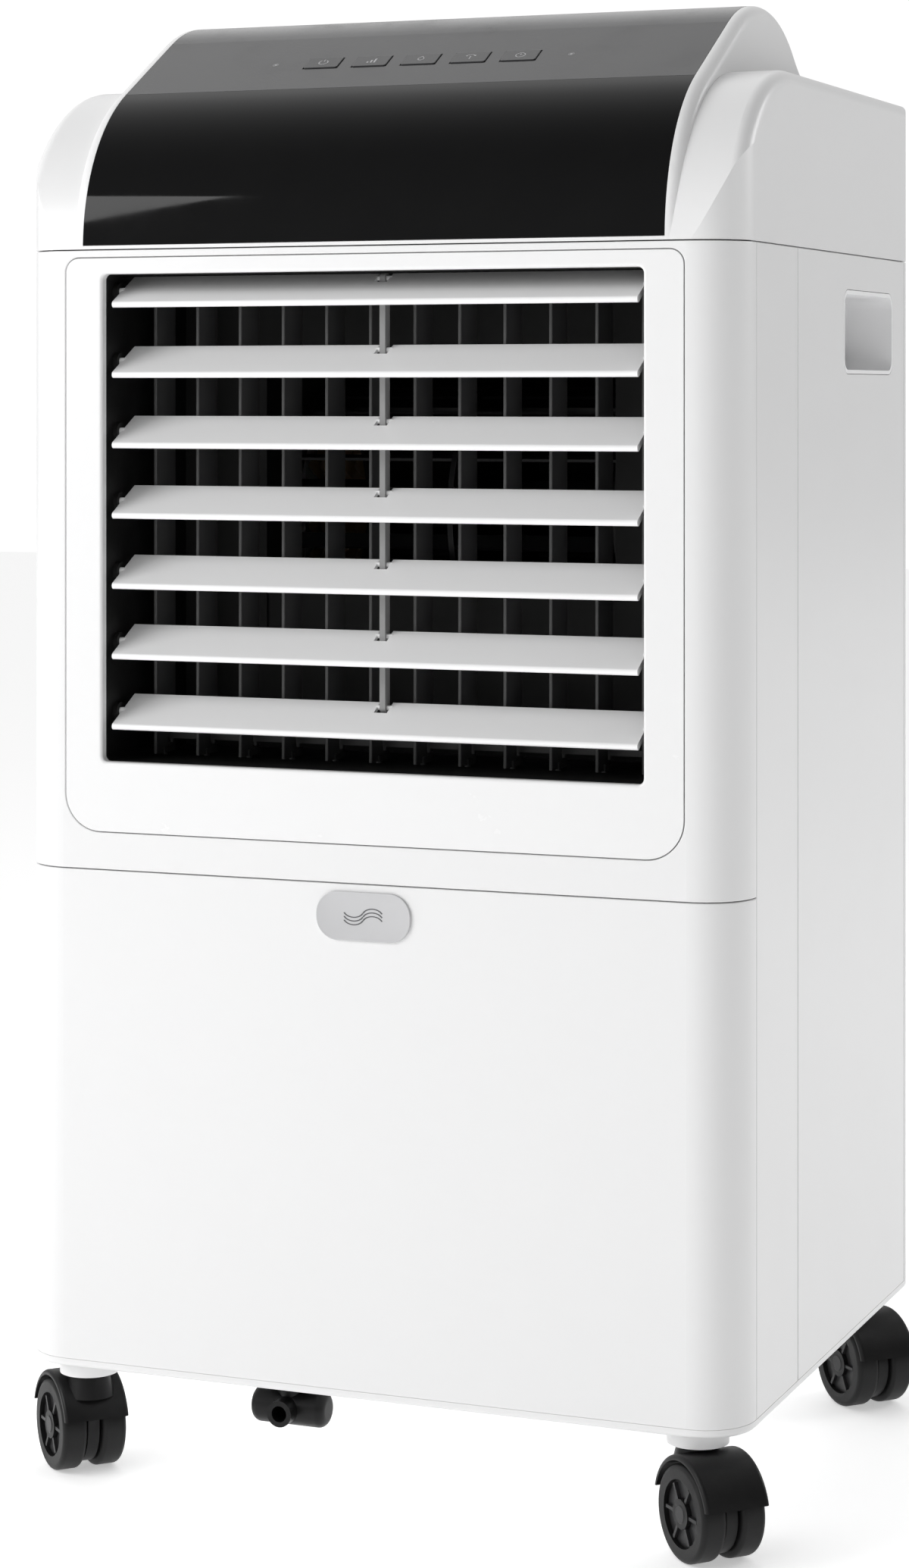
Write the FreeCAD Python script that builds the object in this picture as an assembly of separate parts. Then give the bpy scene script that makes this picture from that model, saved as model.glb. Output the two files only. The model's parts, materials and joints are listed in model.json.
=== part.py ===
import FreeCAD, Part
import math
import os
from FreeCAD import Placement, Rotation, Vector

os.makedirs("parts", exist_ok=True)

# Portable evaporative air cooler on four twin-wheel casters.  Millimetres.
# Origin on the floor under the middle of the body, +X to the user's right
# hand side of the front, front face towards -Y, +Z up.

# ---- overall ----
body_w = 382.0            # across the sides
body_d = 324.0            # front face to rear face
base_z = 60.0             # underside of the base above the floor
seam_z = 623.0            # joint between the panels and the top housing
front_r = 26.0            # plan radius of the front corners
rear_r = 16.0             # plan radius of the rear corners
wall = 2.8                # moulded panels
lip_t = 2.0               # locating lips behind the seams
lip_h = 8.0               # how far a lip reaches behind its neighbour
seam_gap = 0.6            # visible gap between two panels
edge_r = 0.5              # moulded edges
lip_play = 2.0            # lip end to the next lip
lip_back = 4.0            # extra reach of a lip behind its own panel
cut_over = 1.0            # a cutting shape runs this far past the faces it cuts

# ---- base ----
base_t = 4.0              # base plate
upstand_h = 10.0          # rim that locates the panels
boss_r = 15.0             # caster bosses under the base
boss_h = 8.0
pan_edge_r = 2.0

# ---- top housing and console ----
top_wall = 4.0
hump_side = 30.0          # the hump stands this far in from each side
hump_edge_r = 6.0
front_arc_r = 95.0        # lens curve, turning by lens_turn
lens_turn = 60.0          # degrees
slope_len = 62.0          # straight slope that carries the keys
crest_arc_r = 88.0
back_arc_r = 82.0         # both arcs of the fall behind the crest
deck_rise = 87.0          # flat rear deck above the seam
shoulder_lean = 4.0       # degrees the shoulders lean back where they start
shoulder_edge_r = 7.0
inlay_t = 2.0             # lens and control strip
inlay_gap = 0.2
inlay_side = 7.0          # white rim beside the inlay
lens_foot = 1.6           # degrees of curve left white under the lens
strip_over = 5.0          # degrees the strip runs past the crest
inlay_turn = 0.2          # degrees of play at the inlay's ends
lip_break = 8.0           # gap in the housing's lip, past each side of the pad

# ---- keys ----
key_count = 5
key_pitch = 27.0
key_w = 19.0
key_h = 12.0
key_proud = 0.5
key_travel = 0.8
key_gap = 0.35
key_flange = 1.2
key_r = 1.5
key_edge_r = 0.4
key_at = 30.0             # along the slope
key_stem = 9.0            # reach of the stem under the strip face
stem_w = 8.0
stem_h = 6.0
board_gap = 0.4           # left between stem and board when pressed
board_t = 1.6
board_w = 170.0
board_h = 34.0
post_r = 3.5              # board posts
post_in = 5.0             # board's end to a post

# ---- louvre insert ----
slat_count = 7
slat_pitch = 35.4
slat_chord = 30.0
slat_t = 3.4
slat_rear_t = 1.6         # at the rear edge
slat_tilt = 30.0          # front edge down at rest, degrees
slat_axis = 16.5          # behind the front face
slat_top = 8.4            # top slat axis below the opening's top edge
slat_foot = 24.2          # lowest slat axis above the opening's bottom edge
slat_end = 4.0            # slat end to duct wall
pin_r = 2.0
pin_gap = 0.3
link_pin = 4.0            # link pin in from the slat's rear edge
link_pin_r = 1.2
link_t = 3.0
link_w = 6.0
link_over = 2.4           # bar past its last pins
link_slot = 7.0           # notch in a slat for the link
link_reach = 6.0          # notch floor to link pin
link_pin_in = 1.0         # link pin sunk in the notch's walls
open_side = 47.5          # side of the body to the opening
open_top = 12.0           # seam to the opening's top edge
frame_side = 20.0         # width of the insert's face beside the opening
frame_top = 8.0
frame_foot = 35.0
frame_r = 19.0            # its lower corners
frame_top_r = 7.0
frame_flange = 6.0
duct_t = 2.2
duct_collar = 9.0         # collar outside the opening
flange_t = 2.2
open_r = 3.0
mouth_r = 1.6             # rounding of the opening's front edge
boss_gap = 1.5            # slat end to pivot boss
pivot_boss = 2.5          # boss wall round a slat pin
duct_end = 62.0           # depth of the duct behind the front face
casing_foot = 19.0        # front casing below the insert

# ---- vanes ----
vane_count = 12
vane_chord = 22.0
vane_t = 1.8
vane_axis = 47.0          # behind the front face
vane_end = 1.0
vane_pin_r = 1.5
vane_link_z = 9.0         # link above the duct floor
vane_edge_r = 0.6
vane_root_w = 3.2         # thicker root and tip round the pins
vane_root_d = 6.0
vane_root_h = 3.0
vane_link_w = 5.0
vane_link_over = 4.0      # bar past its last pins
swing_shaft = 9.0         # driven pin of the first vane into the motor
swing_side = 34.0
swing_h = 18.0
swing_r = 4.0
swing_floor = 4.0         # left under the motor's bore
shaft_gap = 0.05

# ---- blower ----
plenum_d = 36.0
drum_gap = 12.0           # drum to the cooling pad
fan_gap = 12.0            # wheel to drum
drum_t = 2.0
fan_side = 50.0           # wheel end in from the duct's side
fan_blades = 26
blade_t = 1.4
blade_depth = 10.0
blade_lean = 38.0         # degrees from the radius
ring_t = 4.0
shaft_r = 4.0
hub_r = 14.0
hub_hw = 20.0
disc_t = 3.0              # the wheel's middle disc
shaft_over = 4.0          # shaft past the hub
motor_r = 36.0
motor_len = 44.0
arm_t = 4.0
arm_w = 14.0
arm_lap = 8.0             # arm over the motor, and over the drum
motor_edge_r = 3.0
motor_off = 2.0           # drum to motor
shaft_in = 6.0            # shaft's end to the motor's cap
tongue_at = 0.45          # top of the scroll's tongue below the axis, in wheel radii

# ---- rear: filter, pad, tray ----
bay = 39.0                # side of the body to the pad's side
pad_t = 40.0
pad_gap = 0.6
pad_case_t = 2.5
filter_t = 8.0
filter_gap = 0.6
filter_rim = 9.0
filter_bar = 2.4
filter_pitch = 8.0
rib_count = 3
rib_w = 5.0
bar_sink = 1.5            # bars behind the filter's outer face
bar_d = 3.0
pad_clip = 1.2            # filter to pad
pad_foot = 8.0            # pad above the opening's foot
tray_h = 12.0
tray_t = 2.0
drip_count = 12           # holes that wet the pad from above
drip_r = 1.5
weep_count = 7            # slots under the pad that let the water back
weep_w = 24.0
weep_in = 12.0            # pad's faces to a slot
case_over = 2.0           # case in front of the pad
nozzle_over = 3.0         # tray nozzle past the pad's side

# ---- side handles ----
handle_len = 100.0
handle_h = 44.0
handle_r = 9.0
handle_rear = 42.0        # rear face to the handle
handle_top = 18.0         # seam to the handle
handle_deep = 27.0
cup_t = 2.0
cup_gap = 0.3
cup_flange = 5.0
groove_at = 97.0          # shallow groove down each side panel, behind the front
groove_w = 1.6
groove_deep = 0.8

# ---- water ----
tank_h = 160.0
tank_side = 40.0          # side of the body to the tank
tank_front = 100.0        # front face of the body to the tank
tank_t = 2.6
tank_gap = 0.6
grip_w = 96.0
grip_h = 26.0
grip_deep = 24.0
grip_r = 8.0
grip_drop = 34.0          # tank's top to the middle of the grip
pump_w = 44.0
pump_h = 52.0
pump_r = 5.0
pump_front = 26.0         # spout to the pump's front
pump_rear = 14.0
spout_r = 6.0
spout_bore = 4.0
spout_deep = 10.0         # bore down into the pump
spout_drop = 4.0          # tank's top to the spout's
spout_gap = 2.5           # spout to the hose's end
hose_r = 5.0
hose_bore = 3.0
hose_rise = 10.0          # first straight run
hose_bend = 16.0
hose_in = 22.0            # rear face to the hose
hose_side = 22.0          # side of the body to the riser
pump_in = 70.0            # side of the body to the spout

# ---- small parts ----
gland_r = 9.0
gland_bore = 3.6
gland_len = 16.0          # barrel, from its inner end to the head
gland_neck = 2.0          # barrel thinner than the head
gland_head = 3.0
gland_in = 44.0           # side of the body to the gland
gland_up = 60.0           # above the tank
drain_r = 9.0
drain_len = 40.0
drain_x = -52.0
drain_in = 30.0           # front face to the drain's axis
drain_drop = 16.0         # below the base
drain_bore = 4.0
nozzle_len = 7.0          # nozzle in front of the drain's barrel
nozzle_r = 6.5
drain_neck = 7.0
drain_flange = 13.0
drain_flange_t = 2.0
drain_past = 3.0          # bore past the barrel's axis plane
screw_r = 1.6
screw_head_r = 3.6
screw_len = 7.0
screw_side = 21.0         # side of the body to the screws
screw_hole_gap = 0.2
screw_head_h = 1.8
screw_head_edge = 1.0
screw_slot_w = 0.8
screw_slot_len = 4.4
screw_slot_t = 0.8
screw_deep = 12.0         # screw hole in the side panel's lip
screw_rows = 5
screw_foot = 40.0         # panel's foot to the lowest screw
screw_pitch = 124.0

# ---- casters ----
wheel_r = 23.0
wheel_w = 13.0
web_t = 6.0
wheel_gap = 1.0           # wheel to web
trail = 13.0
hood_gap = 1.6
hood_t = 2.6
stem_r = 5.0
stem_gap = 0.3
fork_gap = 0.5
axle_r = 3.0
axle_gap = 0.1
axle_in = 2.0             # axle's end in from the wheel's face
web_in = 3.0              # web's edge in from the tread
neck_w = 14.0
hood_cut = 7.0            # hood's rim above the axle
hood_edge_r = 2.0
tyre_edge_r = 2.5
dish_in = 7.0             # tread to the dish in the wheel's face
dish_t = 2.5
cap_r = 7.0
cap_t = 3.0
neck_low_r = 13.0
neck_top_r = 10.0
neck_rise = 17.0          # neck's foot above the axle
neck_drop = 8.0           # web's neck below the fork's top
stem_root = 6.0
stem_end = 1.0            # stem's top below the base plate
caster_in_x = 28.0        # side of the body to the swivel axis
caster_in_y = 24.0        # front or rear face to the swivel axis
trail_dir = 43.0          # degrees from the side direction, at rest

# ---- worked out ----
half_w = body_w / 2
y_front = -body_d / 2
y_rear = body_d / 2
panel_z = base_z + base_t
corner_seam = front_r + 1.5
rear_seam = rear_r + 1.5
open_hw = half_w - open_side
open_z1 = seam_z - open_top
slat_z = [open_z1 - slat_top - slat_pitch * k for k in range(slat_count)]
open_z0 = slat_z[-1] - slat_foot
frame_hw = open_hw + frame_side
frame_z0 = open_z0 - frame_foot
frame_z1 = open_z1 + frame_top
split_z = frame_z0 - casing_foot
slat_y = y_front + slat_axis
vane_y = y_front + vane_axis
duct_y = y_front + duct_end
vane_pitch = 2 * open_hw / vane_count
vane_x = [-open_hw + vane_pitch * (k + 0.5) for k in range(vane_count)]
plenum_y = duct_y + plenum_d
pad_hw = half_w - bay
pad_y1 = y_rear - wall - filter_t - pad_clip
pad_y0 = pad_y1 - pad_t
pad_z0 = open_z0 + pad_foot
pad_z1 = open_z1 + 1.0
drum_r = (pad_y0 - drum_gap - plenum_y) / 2
fan_y = plenum_y + drum_r
fan_z = (open_z0 + open_z1) / 2
fan_r = drum_r - drum_t - fan_gap
fan_hw = open_hw - fan_side
drum_hw = fan_hw + 5.0
eye_r = fan_r - blade_depth - 2.0
tank_hw = half_w - tank_side
tank_z0 = panel_z + tank_gap
tank_z1 = tank_z0 + tank_h
hose_y = y_rear - hose_in
hose_x = half_w - hose_side
pump_x = half_w - pump_in
hump_hw = half_w - hump_side
inlay_hw = hump_hw - inlay_side
deck_z = seam_z + deck_rise
hood_r = wheel_r + hood_gap
wheel_z = wheel_r
drain_mouth = y_front + drain_in - drain_r - nozzle_len
drain_deep = nozzle_len + drain_r + drain_past


# ---- helpers ----
def box(x0, x1, y0, y1, z0, z1):
    return Part.makeBox(x1 - x0, y1 - y0, z1 - z0, Vector(x0, y0, z0))


def rod(r, start, end):
    """A round bar from one point to another."""
    run = end - start
    return Part.makeCylinder(r, run.Length, start, run)


def join(first, *rest):
    return first.multiFuse(list(rest)).removeSplitter()


def save(name, shape):
    shape.exportStep("parts/" + name + ".step")


def rounded_prism(u0, u1, v0, v1, radii, at, along):
    """A rectangle with its own radius at each corner, extruded.

    at(u, v) gives the point in space; radii go round from (u0, v0).
    """
    corners = [(u0, v0, 1, 1), (u1, v0, -1, 1), (u1, v1, -1, -1), (u0, v1, 1, -1)]
    ends = []
    for index, (u, v, su, sv) in enumerate(corners):
        r = radii[index]
        on_u = (u + su * r, v)
        on_v = (u, v + sv * r)
        mid = (u + su * r * (1 - math.sqrt(0.5)), v + sv * r * (1 - math.sqrt(0.5)))
        path = (on_v, mid, on_u) if index % 2 == 0 else (on_u, mid, on_v)
        ends.append((r, [at(*p) for p in path]))
    edges = []
    for index in range(4):
        r, (start, mid, end) = ends[index]
        if r > 0:
            edges.append(Part.Arc(start, mid, end).toShape())
        edges.append(Part.makeLine(end, ends[(index + 1) % 4][1][0]))
    return Part.Face(Part.Wire(edges)).extrude(along)


def plan_block(inset, z0, z1):
    """The body's plan outline, moved in by inset."""
    radii = [front_r - inset, front_r - inset, rear_r - inset, rear_r - inset]
    return rounded_prism(-half_w + inset, half_w - inset, y_front + inset, y_rear - inset,
                         radii, lambda x, y: Vector(x, y, z0), Vector(0, 0, z1 - z0))


def skin(z0, z1):
    return plan_block(0, z0, z1).cut(plan_block(wall, z0, z1))


def lip(z0, z1):
    """The ring that bears on the inside of the skin."""
    return plan_block(wall, z0, z1).cut(plan_block(wall + lip_t, z0, z1))


def depth_in_plan(point):
    """How far a point lies inside the body's plan outline."""
    x = half_w - abs(point.x)
    y = min(point.y - y_front, y_rear - point.y)
    r = front_r if point.y < 0 else rear_r
    if x < r and y < r:
        return r - math.hypot(r - x, r - y)
    return min(x, y)


def soften(shape):
    """Rounds the outside edges of a moulded panel, apart from its upright corners."""
    def outside(edge):
        low, high = edge.FirstParameter, edge.LastParameter
        spots = [edge.valueAt(low + (high - low) * share) for share in (0.1, 0.5, 0.9)]
        if max(abs(depth_in_plan(point)) for point in spots) > 0.01:
            return False
        faces = shape.ancestorsOfType(edge, Part.Face)
        middle = spots[1]
        normals = [face.normalAt(*face.Surface.parameter(middle)) for face in faces]
        return len(normals) == 2 and abs(normals[0].dot(normals[1])) < 0.5
    return shape.makeFillet(edge_r, edges_where(shape, outside))


def front_zone(depth, z0, z1):
    return box(-half_w, half_w, y_front, y_front + depth, z0, z1)


def front_window(grow, y0, y1):
    """The louvre insert's outline, grown on every side."""
    low = frame_r + grow
    high = frame_top_r + grow
    return rounded_prism(-frame_hw - grow, frame_hw + grow, frame_z0 - grow, frame_z1 + grow,
                         [low, low, high, high], lambda x, z: Vector(x, y0, z),
                         Vector(0, y1 - y0, 0))


def handle_block(grow, x0, x1):
    """The handle recess outline on the +X side."""
    r = handle_r + grow
    y1 = y_rear - handle_rear
    z1 = seam_z - handle_top
    return rounded_prism(y1 - handle_len - grow, y1 + grow, z1 - handle_h - grow, z1 + grow,
                         [r, r, r, r], lambda y, z: Vector(x0, y, z), Vector(x1 - x0, 0, 0))


def mirrored(shape):
    return shape.mirror(Vector(0, 0, 0), Vector(1, 0, 0))


def side_prism(edges, half):
    """Edges drawn in the x = 0 plane, extruded both ways to half."""
    face = Part.Face(Part.Wire(edges))
    face.translate(Vector(-half, 0, 0))
    return face.extrude(Vector(2 * half, 0, 0))


# ---- console profile: s runs back from the front face ----
def spot(s, z):
    return Vector(0, y_front + s, z)


def arc_edge(cs, cz, r, a0, a1):
    """Arc about (cs, cz); the angle is 0 towards the front and 90 upwards."""
    points = []
    for a in (a0, (a0 + a1) / 2, a1):
        rad = math.radians(a)
        points.append(spot(cs - r * math.cos(rad), cz + r * math.sin(rad)))
    return Part.Arc(*points).toShape()


slope_dir = 90 - lens_turn
slope_cos = math.cos(math.radians(slope_dir))
slope_sin = math.sin(math.radians(slope_dir))
slope_s = front_arc_r * (1 - math.cos(math.radians(lens_turn)))
slope_z = seam_z + front_arc_r * math.sin(math.radians(lens_turn))
crest_cs = slope_s + slope_len * slope_cos + crest_arc_r * slope_sin
crest_cz = slope_z + slope_len * slope_sin - crest_arc_r * slope_cos
crest_z = crest_cz + crest_arc_r
back_turn = math.degrees(math.acos(1 - (crest_z - deck_z) / (2 * back_arc_r)))
back_cz = crest_z - back_arc_r
back_s = crest_cs + 2 * back_arc_r * math.sin(math.radians(back_turn))


def first_point(edge):
    return edge.Vertexes[0].Point


def last_point(edge):
    return edge.Vertexes[-1].Point


def hump_block(inset, z0):
    """The console hump between its two side faces."""
    front = arc_edge(front_arc_r, seam_z, front_arc_r - inset, 0, lens_turn)
    crest = arc_edge(crest_cs, crest_cz, crest_arc_r - inset, lens_turn, 90)
    fall = arc_edge(crest_cs, back_cz, back_arc_r - inset, 90, 90 + back_turn)
    rise = arc_edge(back_s, deck_z + back_arc_r, back_arc_r + inset, back_turn - 90, -90)
    low_front = spot(inset, z0)
    low_rear = spot(back_s, z0)
    edges = [Part.makeLine(low_front, first_point(front)), front,
             Part.makeLine(last_point(front), first_point(crest)), crest, fall, rise,
             Part.makeLine(last_point(rise), low_rear), Part.makeLine(low_rear, low_front)]
    return side_prism(edges, hump_hw - inset)


def deck_block(inset, z0):
    """The lower block: rounded front shoulders and the flat rear deck."""
    lean = math.radians(shoulder_lean)
    arc_r = deck_rise / (1 - math.sin(lean))
    start = math.degrees(math.asin((z0 - deck_z + arc_r) / (arc_r - inset)))
    front = arc_edge(arc_r * math.cos(lean), deck_z - arc_r, arc_r - inset, start, 90)
    rear_top = spot(body_d - inset, deck_z - inset)
    rear_low = spot(body_d - inset, z0)
    edges = [front, Part.makeLine(last_point(front), rear_top), Part.makeLine(rear_top, rear_low),
             Part.makeLine(rear_low, first_point(front))]
    return side_prism(edges, half_w)


def edges_where(shape, test):
    return [edge for edge in shape.Edges if test(edge)]


def beside_profile(shape, half, z0):
    """The long edges between a side face at x = half or -half and the profile."""
    return edges_where(shape, lambda e: e.BoundBox.XLength < 0.01
                       and abs(abs(e.BoundBox.XMin) - half) < 0.01
                       and e.BoundBox.ZMax > z0 + 0.01)


def inlay(depth, proud, half, a0, a1):
    """Lens and strip band, from angle a0 on the lens to a1 on the crest."""
    outer = [arc_edge(front_arc_r, seam_z, front_arc_r + proud, a0, min(a1, lens_turn))]
    inner = [arc_edge(front_arc_r, seam_z, front_arc_r - depth, a0, min(a1, lens_turn))]
    if a1 > lens_turn:
        outer.append(arc_edge(crest_cs, crest_cz, crest_arc_r + proud, lens_turn, a1))
        inner.append(arc_edge(crest_cs, crest_cz, crest_arc_r - depth, lens_turn, a1))
        for path in (outer, inner):
            path.insert(1, Part.makeLine(last_point(path[0]), first_point(path[1])))
    ends = [Part.makeLine(first_point(inner[0]), first_point(outer[0])),
            Part.makeLine(last_point(outer[-1]), last_point(inner[-1]))]
    return side_prism(Part.sortEdges(outer + inner + ends)[0], half)


def on_slope(shape, x=0.0):
    """From a frame with z out of the slope and y up it, into the body's."""
    origin = spot(slope_s + key_at * slope_cos, slope_z + key_at * slope_sin)
    placed = shape.copy()
    frame = Placement(origin + Vector(x, 0, 0), Rotation(Vector(1, 0, 0), slope_dir))
    placed.Placement = frame.multiply(placed.Placement)
    return placed


key_x = [key_pitch * (k - (key_count - 1) / 2) for k in range(key_count)]
window_hw = key_x[-1] + key_w / 2 + key_flange + 2 * key_gap
window_h = key_h / 2 + key_flange + 2 * key_gap
board_top = -key_stem - key_travel - board_gap


def make_top_housing():
    low = seam_z + seam_gap
    hump = hump_block(0, low - 1)
    upper = [e for e in beside_profile(hump, hump_hw, low)
             if abs(e.BoundBox.YMin - (y_front + back_s)) > 0.01]
    upper = [e for e in upper if e.BoundBox.ZLength < deck_rise - 1 or e.BoundBox.YLength > 0.01]
    hump = hump.makeFillet(hump_edge_r, upper)
    deck = deck_block(0, low - 1)
    top = [e for e in beside_profile(deck, half_w, low) if e.BoundBox.YLength > 0.01]
    top += edges_where(deck, lambda e: e.BoundBox.ZMin > deck_z - 0.01 and e.BoundBox.YMin > y_rear - 0.01)
    deck = deck.makeFillet(shoulder_edge_r, top).common(plan_block(0, low - 1, crest_z))
    outer = join(deck, hump)
    inner_deck = deck_block(top_wall, low - 2).common(plan_block(wall, low - 2, crest_z))
    inner = join(inner_deck, hump_block(top_wall, low - 2))
    shell = outer.cut(inner).common(box(-half_w, half_w, y_front, y_rear, low, crest_z + 1))
    shell = shell.cut(inlay(inlay_t, 2.0, inlay_hw + inlay_gap, lens_foot - inlay_turn,
                            90 + strip_over + inlay_turn))
    window = box(-window_hw, window_hw, -window_h, window_h, -top_wall - 4, 1)
    shell = shell.cut(on_slope(window))
    ring = lip(seam_z - lip_h, low + lip_h)
    ring = ring.common(box(-half_w, half_w, y_front + corner_seam, y_rear, base_z, crest_z))
    ring = ring.cut(box(-pad_hw - lip_break, pad_hw + lip_break, y_front, y_rear, base_z, crest_z))
    post = rod(post_r, Vector(0, 0, board_top), Vector(0, 0, -top_wall + 0.5))
    posts = []
    for x in (-board_w / 2 + post_in, board_w / 2 - post_in):
        for y in (-window_h - post_r, window_h + post_r):
            posts.append(on_slope(post.translated(Vector(x, y, 0))))
    return join(shell, ring, *posts)


def make_console():
    half = inlay_hw
    save("console_lens", inlay(inlay_t, 0, half, lens_foot, lens_turn - 0.15))
    whole = inlay(inlay_t, 0, half, lens_foot, 90 + strip_over)
    front = inlay(inlay_t + 1, 1, half + 1, lens_foot - 1, lens_turn)
    strip = whole.cut(front)
    hole = box(-key_w / 2 - key_gap, key_w / 2 + key_gap, -key_h / 2 - key_gap,
               key_h / 2 + key_gap, -inlay_t - 1, 1)
    for x in key_x:
        strip = strip.cut(on_slope(hole, x))
    save("control_strip", strip)
    foot = -inlay_t - key_flange
    cap = rounded_prism(-key_w / 2, key_w / 2, -key_h / 2, key_h / 2, [key_r] * 4,
                        lambda x, y: Vector(x, y, foot), Vector(0, 0, key_proud - foot))
    top = edges_where(cap, lambda e: e.BoundBox.ZMin > key_proud - 0.01)
    cap = cap.makeFillet(key_edge_r, top)
    rim = box(-key_w / 2 - key_flange, key_w / 2 + key_flange, -key_h / 2 - key_flange,
              key_h / 2 + key_flange, -inlay_t - key_gap - key_flange, -inlay_t - key_gap)
    stem = box(-stem_w / 2, stem_w / 2, -stem_h / 2, stem_h / 2, -key_stem, -inlay_t - key_gap)
    key = join(cap, rim, stem)
    for index, x in enumerate(key_x):
        save("key_%d" % (index + 1), on_slope(key, x))
    board = box(-board_w / 2, board_w / 2, -board_h / 2, board_h / 2, board_top - board_t, board_top)
    save("control_board", on_slope(board))


def make_casings():
    window = front_window(seam_gap, y_front - 1, y_front + wall + 1)
    casing = skin(split_z, seam_z).common(front_zone(corner_seam, split_z, seam_z))
    save("front_casing", soften(casing.cut(window)))

    low = split_z - seam_gap
    lower = skin(panel_z, low).common(front_zone(corner_seam, panel_z, low))
    back = lip(low - lip_h, low + lip_h).common(front_zone(front_r / 2, low - lip_h, low + lip_h))
    save("lower_panel", join(soften(lower), back))


def make_side_panel():
    y0 = y_front + corner_seam + seam_gap
    y1 = y_rear - rear_seam - seam_gap
    panel = soften(skin(panel_z, seam_z).common(box(0, half_w, y0, y1, panel_z, seam_z)))
    lips = lip(panel_z + upstand_h + lip_play, seam_z - lip_h - lip_play)
    front_lip = lips.common(box(0, half_w, y0 - lip_h - lip_back, y0 + lip_h, base_z, seam_z))
    rear_lip = lips.common(box(half_w - bay + lip_h, half_w, y1 - lip_h, y_rear, base_z, seam_z))
    panel = join(panel, front_lip, rear_lip)
    panel = panel.cut(handle_block(0, half_w - wall - lip_t - 1, half_w + 1))
    groove = box(half_w - groove_deep, half_w + 1, y_front + groove_at,
                 y_front + groove_at + groove_w, panel_z, seam_z)
    panel = panel.cut(groove)
    for z in screw_heights:
        panel = panel.cut(rod(screw_r, Vector(half_w - screw_side, y_rear - screw_deep, z),
                              Vector(half_w - screw_side, y_rear, z)))
    return panel


def make_handle_cup():
    inner_x = half_w - handle_deep
    cup = handle_block(-cup_gap, inner_x, half_w)
    hollow = handle_block(-cup_gap - cup_t, inner_x + cup_t, half_w + 1)
    flange = handle_block(cup_flange, half_w - wall - cup_t, half_w - wall)
    return join(cup, flange).cut(hollow)


def opening_block(y0, y1):
    return rounded_prism(-open_hw, open_hw, open_z0, open_z1, [open_r] * 4,
                         lambda x, z: Vector(x, y0, z), Vector(0, y1 - y0, 0))


def make_louvre_frame():
    """The insert's white face, with a flange that bears behind the casing."""
    back = y_front + wall + flange_t
    plate = front_window(0, y_front, y_front + wall).common(plan_block(0, frame_z0, frame_z1))
    flange = front_window(frame_flange, y_front + wall, back)
    flange = flange.common(plan_block(wall, frame_z0 - frame_flange, seam_z))
    face = join(plate, flange).cut(opening_block(y_front - 1, back + 1))
    mouth = edges_where(face, lambda e: e.BoundBox.YMax < y_front + 0.01
                        and e.BoundBox.XMax < open_hw + 0.01 and e.BoundBox.XMin > -open_hw - 0.01
                        and e.BoundBox.ZMin > open_z0 - 0.01 and e.BoundBox.ZMax < open_z1 + 0.01)
    return face.makeFillet(mouth_r, mouth)


def make_air_duct():
    """The dark duct behind the face; it carries the slat and vane pivots."""
    front = y_front + wall + flange_t
    duct = box(-open_hw - duct_t, open_hw + duct_t, front, duct_y, open_z0 - duct_t, open_z1 + duct_t)
    collar = box(-open_hw - duct_collar, open_hw + duct_collar, front, front + duct_t,
                 open_z0 - duct_collar, open_z1 + duct_collar)
    body = join(duct, collar).cut(opening_block(front - 1, duct_y + 1))
    bosses = []
    holes = []
    for z in slat_z:
        for side in (-1, 1):
            start = Vector(side * (open_hw - slat_end + boss_gap), slat_y, z)
            end = Vector(side * (open_hw + duct_t), slat_y, z)
            bosses.append(rod(pin_r + pivot_boss, start, end))
            holes.append(rod(pin_r + pin_gap, start - Vector(side, 0, 0), end + Vector(side, 0, 0)))
    body = join(body, *bosses)
    for x in vane_x:
        for z in (open_z0 - duct_t - 1, open_z1 - 1):
            holes.append(rod(vane_pin_r + pin_gap, Vector(x, vane_y, z), Vector(x, vane_y, z + duct_t + 2)))
    return body.cut(holes)


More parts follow.
